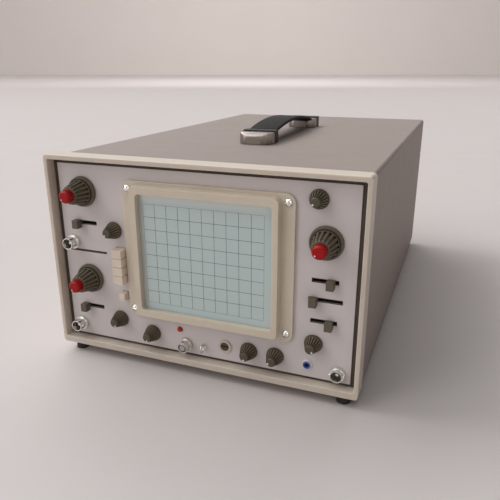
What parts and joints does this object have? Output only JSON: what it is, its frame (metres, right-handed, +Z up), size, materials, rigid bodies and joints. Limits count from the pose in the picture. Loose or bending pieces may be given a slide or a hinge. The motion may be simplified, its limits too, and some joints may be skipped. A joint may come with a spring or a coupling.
{
  "type": "oscilloscope",
  "caption": "Bench oscilloscope: square tube screen in a hooded bezel, fluted range knobs with red caps, slide switches, push-buttons, input sockets and a strap handle on a sheet-metal case",
  "frame": {"origin": "centre of the bounding box in plan, on the table under the feet", "axes": "X to the right of the front panel, Y from the front panel to the back, Z up; metres"},
  "size_m": [0.26, 0.4414, 0.1885],
  "materials": {
    "case_paint": "grey-beige enamel, fine texture",
    "bezel_plastic": "cream moulded plastic",
    "black_panel": "flat black",
    "panel_paint": "light lilac-grey satin paint",
    "bright_steel": "plated screws",
    "acrylic": "clear acrylic with engraved lines",
    "tube_glass": "grey-blue phosphor glass",
    "inner_metal": "zinc plated",
    "black_plastic": "black moulding",
    "board_laminate": "green laminate",
    "core_iron": "varnished laminations and coil",
    "foot_rubber": "black rubber",
    "strap_vinyl": "black vinyl",
    "chrome": "bright plating",
    "knob_plastic": "dark olive moulding",
    "red_plastic": "red moulding",
    "button_plastic": "cream moulding",
    "satin_metal": "satin nickel",
    "contact_brass": "plated contact in an insulator",
    "blue_plastic": "blue insert",
    "white_plastic": "white collar"
  },
  "bodies": {
    "chassis": {"case_cover": "case_paint", "bottom_cover": "case_paint", "rear_panel": "case_paint", "front_bezel": "bezel_plastic", "screen_bezel": "bezel_plastic", "trimmer_bush": "bezel_plastic", "backing_panel": "black_panel", "front_panel": "panel_paint", "screen_screws": "bright_steel", "case_screws": "bright_steel", "graticule": "acrylic", "picture_tube": "tube_glass", "tube_shield": "inner_metal", "tube_bracket": "inner_metal", "side_rails": "inner_metal", "board_posts": "inner_metal", "rotary_controls": "inner_metal", "tube_socket": "black_plastic", "power_inlet": "black_plastic", "fuse_holder": "black_plastic", "handle_ends": "black_plastic", "slide_switches": "black_plastic", "button_switches": "black_plastic", "circuit_board": "board_laminate", "transformer": "core_iron", "feet": "foot_rubber", "handle_strap": "strap_vinyl", "handle_covers": "chrome", "power_collar": "chrome", "calibration_loop": "chrome", "power_lamp": "red_plastic", "input_sockets": "satin_metal", "input_contacts": "contact_brass", "earth_socket": "blue_plastic", "earth_collar": "white_plastic"},
    "ch1_range": {"ch1_range_knob": "knob_plastic"},
    "ch2_range": {"ch2_range_knob": "knob_plastic"},
    "timebase": {"timebase_knob": "knob_plastic"},
    "ch1_variable": {"ch1_variable_cap": "red_plastic"},
    "ch2_variable": {"ch2_variable_cap": "red_plastic"},
    "timebase_variable": {"timebase_variable_cap": "red_plastic"},
    "ch1_position": {"ch1_position_knob": "knob_plastic"},
    "ch2_position": {"ch2_position_knob": "knob_plastic"},
    "intensity": {"intensity_knob": "knob_plastic"},
    "focus": {"focus_knob": "knob_plastic"},
    "scale_light": {"scale_light_knob": "knob_plastic"},
    "level": {"level_knob": "knob_plastic"},
    "horizontal": {"horizontal_knob": "knob_plastic"},
    "ch1_coupling": {"ch1_coupling_slide": "knob_plastic"},
    "ch2_coupling": {"ch2_coupling_slide": "knob_plastic"},
    "mode": {"mode_slide": "knob_plastic"},
    "source": {"source_slide": "knob_plastic"},
    "slope": {"slope_slide": "knob_plastic"},
    "display_1": {"display_button_1": "button_plastic"},
    "display_2": {"display_button_2": "button_plastic"},
    "display_3": {"display_button_3": "button_plastic"},
    "display_4": {"display_button_4": "button_plastic"},
    "invert": {"invert_button": "button_plastic"},
    "power": {"power_button": "satin_metal"},
    "trim": {"trimmer": "knob_plastic"}
  },
  "joints": [
    {"name": "ch1_range_turn", "type": "hinge", "parent": "chassis", "child": "ch1_range", "pos_m": [-0.1, -0.1968, 0.1436], "axis": [0, 1, 0], "range_deg": [-165, 165]},
    {"name": "ch1_variable_turn", "type": "hinge", "parent": "chassis", "child": "ch1_variable", "pos_m": [-0.1, -0.1968, 0.1436], "axis": [0, 1, 0], "range_deg": [-140, 140]},
    {"name": "ch2_range_turn", "type": "hinge", "parent": "chassis", "child": "ch2_range", "pos_m": [-0.1, -0.1968, 0.0693], "axis": [0, 1, 0], "range_deg": [-165, 165]},
    {"name": "ch2_variable_turn", "type": "hinge", "parent": "chassis", "child": "ch2_variable", "pos_m": [-0.1, -0.1968, 0.0693], "axis": [0, 1, 0], "range_deg": [-140, 140]},
    {"name": "timebase_turn", "type": "hinge", "parent": "chassis", "child": "timebase", "pos_m": [0.1002, -0.1968, 0.1235], "axis": [0, 1, 0], "range_deg": [-165, 165]},
    {"name": "timebase_variable_turn", "type": "hinge", "parent": "chassis", "child": "timebase_variable", "pos_m": [0.1002, -0.1968, 0.1235], "axis": [0, 1, 0], "range_deg": [-140, 140]},
    {"name": "ch1_position_turn", "type": "hinge", "parent": "chassis", "child": "ch1_position", "pos_m": [-0.073, -0.1968, 0.114], "axis": [0, 1, 0], "range_deg": [-150, 150]},
    {"name": "ch2_position_turn", "type": "hinge", "parent": "chassis", "child": "ch2_position", "pos_m": [-0.073, -0.1968, 0.0364], "axis": [0, 1, 0], "range_deg": [-150, 150]},
    {"name": "intensity_turn", "type": "hinge", "parent": "chassis", "child": "intensity", "pos_m": [-0.0425, -0.1968, 0.0284], "axis": [0, 1, 0], "range_deg": [-150, 150]},
    {"name": "focus_turn", "type": "hinge", "parent": "chassis", "child": "focus", "pos_m": [0.0427, -0.1968, 0.0284], "axis": [0, 1, 0], "range_deg": [-150, 150]},
    {"name": "scale_light_turn", "type": "hinge", "parent": "chassis", "child": "scale_light", "pos_m": [0.0643, -0.1968, 0.0284], "axis": [0, 1, 0], "range_deg": [-150, 150]},
    {"name": "level_turn", "type": "hinge", "parent": "chassis", "child": "level", "pos_m": [0.0938, -0.1968, 0.0449], "axis": [0, 1, 0], "range_deg": [-150, 150]},
    {"name": "horizontal_turn", "type": "hinge", "parent": "chassis", "child": "horizontal", "pos_m": [0.0938, -0.1968, 0.1539], "axis": [0, 1, 0], "range_deg": [-150, 150]},
    {"name": "trim_turn", "type": "hinge", "parent": "chassis", "child": "trim", "pos_m": [0.0225, -0.1968, 0.0284], "axis": [0, 1, 0], "range_deg": [-135, 135]},
    {"name": "ch1_coupling_slide", "type": "slide", "parent": "chassis", "child": "ch1_coupling", "axis": [1, 0, 0], "range_m": [0, 0.0137]},
    {"name": "ch2_coupling_slide", "type": "slide", "parent": "chassis", "child": "ch2_coupling", "axis": [1, 0, 0], "range_m": [0, 0.0137]},
    {"name": "mode_slide", "type": "slide", "parent": "chassis", "child": "mode", "axis": [1, 0, 0], "range_m": [-0.0113, 0.0023]},
    {"name": "source_slide", "type": "slide", "parent": "chassis", "child": "source", "axis": [1, 0, 0], "range_m": [-0.0012, 0.0178]},
    {"name": "slope_slide", "type": "slide", "parent": "chassis", "child": "slope", "axis": [1, 0, 0], "range_m": [-0.0113, 0.0023]},
    {"name": "display_1_slide", "type": "slide", "parent": "chassis", "child": "display_1", "axis": [0, 1, 0], "range_m": [0, 0.004], "stiffness_N_per_m": 400},
    {"name": "display_2_slide", "type": "slide", "parent": "chassis", "child": "display_2", "axis": [0, 1, 0], "range_m": [0, 0.004], "stiffness_N_per_m": 400},
    {"name": "display_3_slide", "type": "slide", "parent": "chassis", "child": "display_3", "axis": [0, 1, 0], "range_m": [0, 0.004], "stiffness_N_per_m": 400},
    {"name": "display_4_slide", "type": "slide", "parent": "chassis", "child": "display_4", "axis": [0, 1, 0], "range_m": [0, 0.004], "stiffness_N_per_m": 400},
    {"name": "invert_slide", "type": "slide", "parent": "chassis", "child": "invert", "axis": [0, 1, 0], "range_m": [0, 0.004], "stiffness_N_per_m": 400},
    {"name": "power_slide", "type": "slide", "parent": "chassis", "child": "power", "axis": [0, 1, 0], "range_m": [0, 0.0025], "stiffness_N_per_m": 600}
  ]
}
